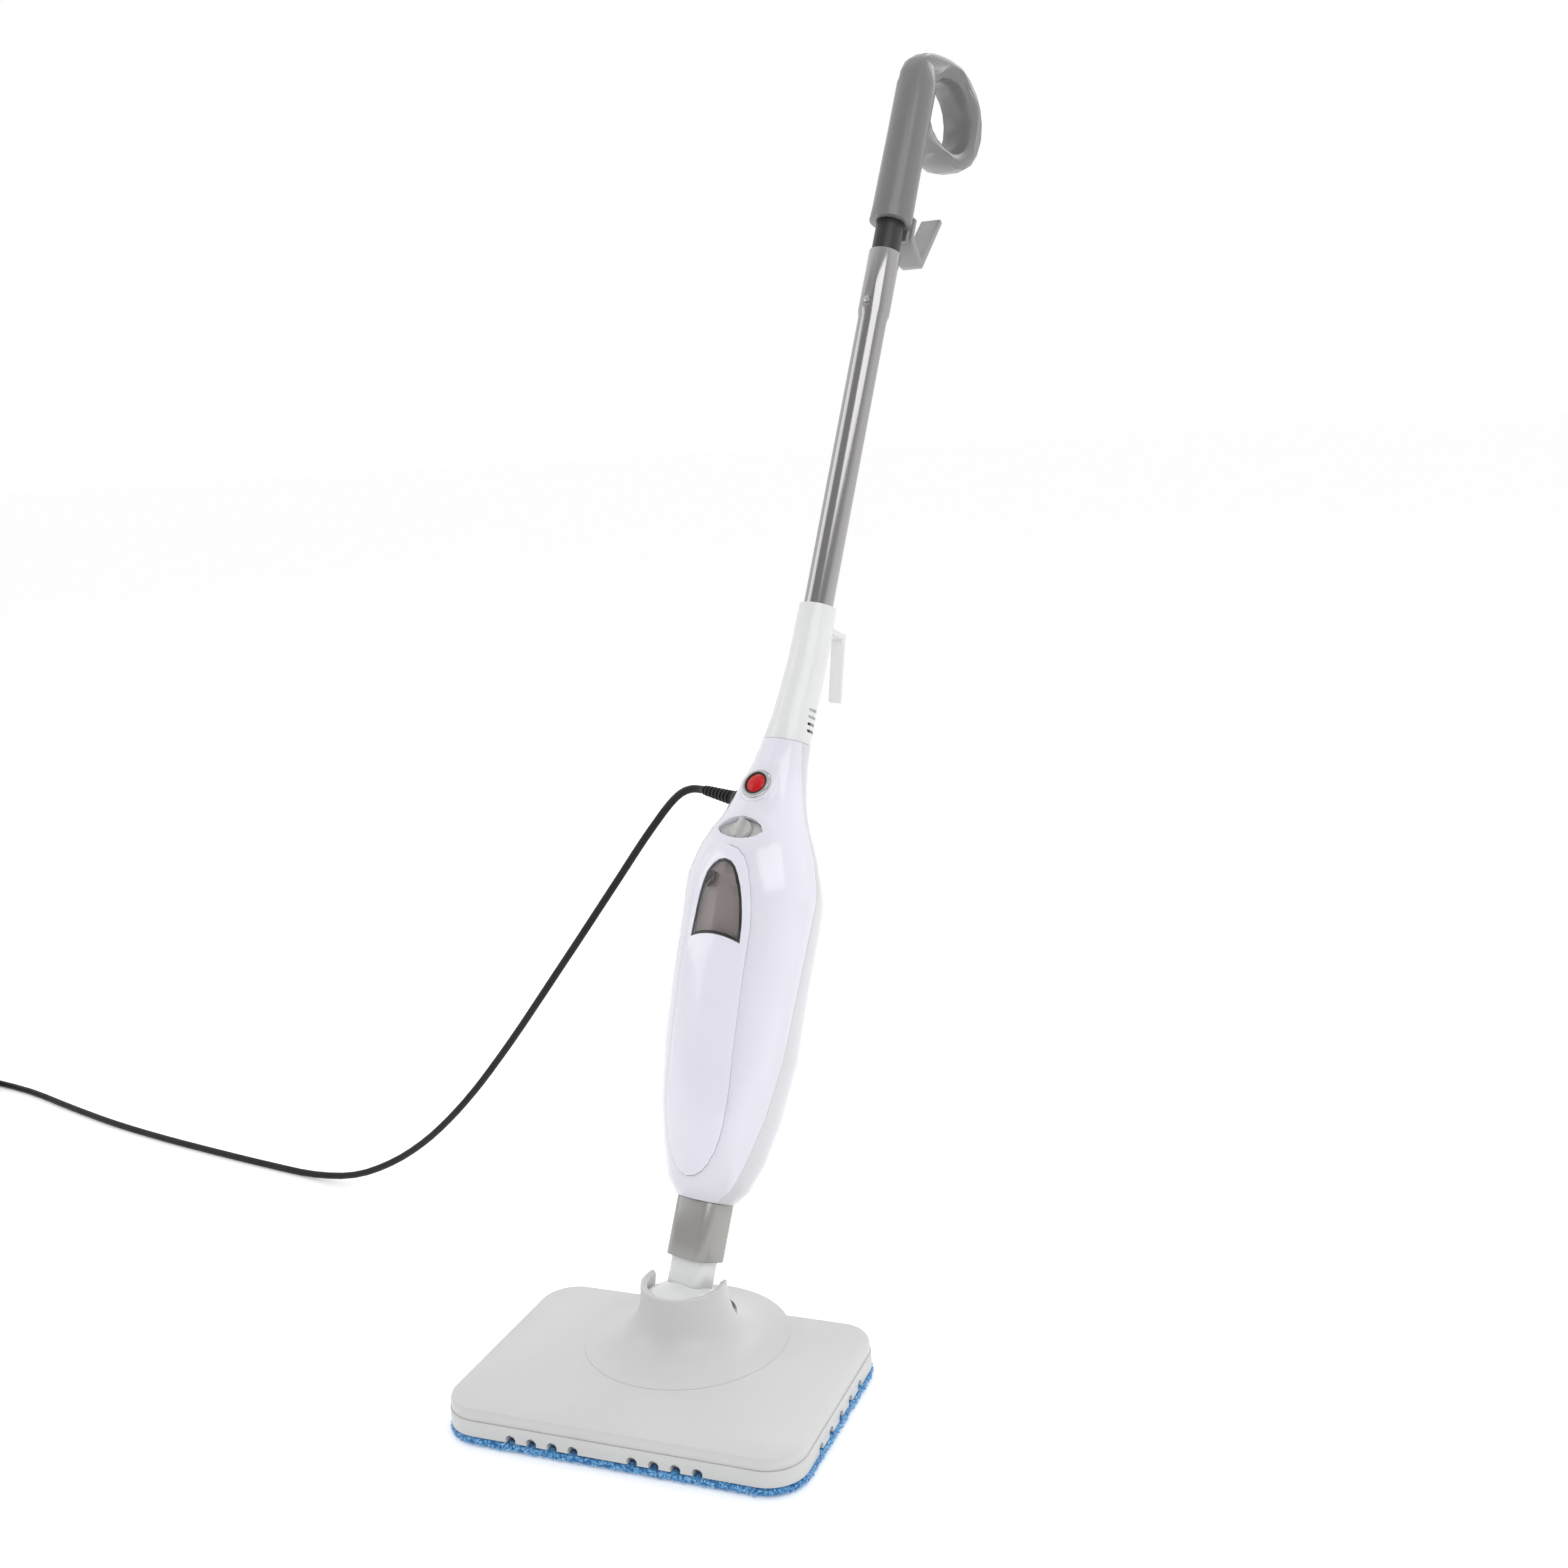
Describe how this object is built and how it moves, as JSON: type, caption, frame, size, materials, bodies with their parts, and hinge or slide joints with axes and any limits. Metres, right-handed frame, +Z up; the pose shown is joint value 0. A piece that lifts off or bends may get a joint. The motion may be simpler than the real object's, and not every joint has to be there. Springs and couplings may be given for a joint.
{
  "type": "steam mop",
  "caption": "Upright steam mop leaning back on a flat rectangular head with a soft pad, a slim body with boiler and tank, a two-part handle with a loop grip and a mains cord.",
  "frame": {"origin": "middle of the mop pad's underside, on the floor", "axes": "+Z up, -Y towards the front of the mop head, X along the head's long side"},
  "size_m": [1.378, 0.6763, 1.0912],
  "materials": {
    "body_white": "gloss",
    "head_white": "satin",
    "grey_plastic": "satin",
    "grip_grey": "satin",
    "black_plastic": "satin",
    "cord_black": "matte",
    "chrome": "polished",
    "steel": "satin",
    "red_lens": "gloss",
    "smoke": "gloss",
    "pad": "matte",
    "brass": "satin",
    "boiler_cast": "satin",
    "pump_black": "satin",
    "hose_grey": "matte"
  },
  "bodies": {
    "main_body": {"boiler": "boiler_cast", "boiler_hose": "hose_grey", "button_bezel": "chrome", "button_spring": "steel", "cap_hinge": "grey_plastic", "cord_coil": "cord_black", "cord_gland": "cord_black", "cord_tail": "cord_black", "cord_tie": "cord_black", "coupling_sleeve": "grey_plastic", "dial_bezel": "grey_plastic", "feed_hose": "hose_grey", "front_panel": "body_white", "front_shell": "body_white", "grip": "grip_grey", "grip_insert": "black_plastic", "handle_socket": "body_white", "handle_tube": "chrome", "hook_screw": "steel", "lower_cord_hook": "body_white", "neck": "head_white", "plug_body": "cord_black", "plug_pin_left": "steel", "plug_pin_right": "steel", "power_cord": "cord_black", "pump": "pump_black", "rear_shell": "body_white", "shell_screw_lower_left": "steel", "shell_screw_lower_right": "steel", "shell_screw_middle_left": "steel", "shell_screw_middle_right": "steel", "steam_pipe": "brass", "steam_valve": "brass", "strain_relief": "cord_black", "switch_housing": "black_plastic", "swivel_dome": "head_white", "thermostat": "black_plastic", "tilt_pin": "steel", "water_tank": "smoke", "window_lens": "smoke"},
    "mop_head": {"mop_pad": "pad", "base_plate": "head_white", "head_cover": "head_white", "steam_spreader": "hose_grey", "head_screw_front_left": "steel", "head_screw_front_right": "steel", "head_screw_rear_left": "steel", "head_screw_rear_right": "steel"},
    "swivel": {"swivel_post": "grey_plastic"},
    "power_button": {"power_button": "red_lens"},
    "steam_dial": {"steam_dial": "grey_plastic"},
    "filler_cap": {"filler_cap": "grey_plastic"},
    "upper_cord_hook": {"upper_cord_hook": "grip_grey"},
    "snap_button": {"snap_button": "steel"}
  },
  "joints": [
    {"name": "head_tilt", "type": "hinge", "parent": "main_body", "child": "swivel", "pos_m": [0, 0.034, 0.038], "axis": [0.9703, -0.2419, 0], "range_deg": [-23, 30]},
    {"name": "head_turn", "type": "hinge", "parent": "swivel", "child": "mop_head", "pos_m": [0, 0.034, 0.038], "axis": [0, 0, 1], "range_deg": [-36, 8]},
    {"name": "power_press", "type": "slide", "parent": "main_body", "child": "power_button", "axis": [0.1793, 0.7192, -0.6713], "range_m": [0, 0.002], "stiffness_N_per_m": 600, "springref_m": -0.0005},
    {"name": "dial_turn", "type": "hinge", "parent": "main_body", "child": "steam_dial", "pos_m": [0.02907, 0.15058, 0.44403], "axis": [-0.1591, -0.638, 0.7534], "range_deg": [-60, 60]},
    {"name": "cap_open", "type": "hinge", "parent": "main_body", "child": "filler_cap", "pos_m": [0.04206, 0.20271, 0.32214], "axis": [-0.9703, 0.2419, 0], "range_deg": [0, 100]},
    {"name": "hook_swing", "type": "hinge", "parent": "main_body", "child": "upper_cord_hook", "pos_m": [0.1018, 0.44228, 0.93391], "axis": [0.221, 0.8864, -0.4067], "range_deg": [0, 180]},
    {"name": "snap_press", "type": "slide", "parent": "main_body", "child": "snap_button", "axis": [0.221, 0.8864, -0.4067], "range_m": [0, 0.003], "stiffness_N_per_m": 800, "springref_m": -0.0005}
  ]
}
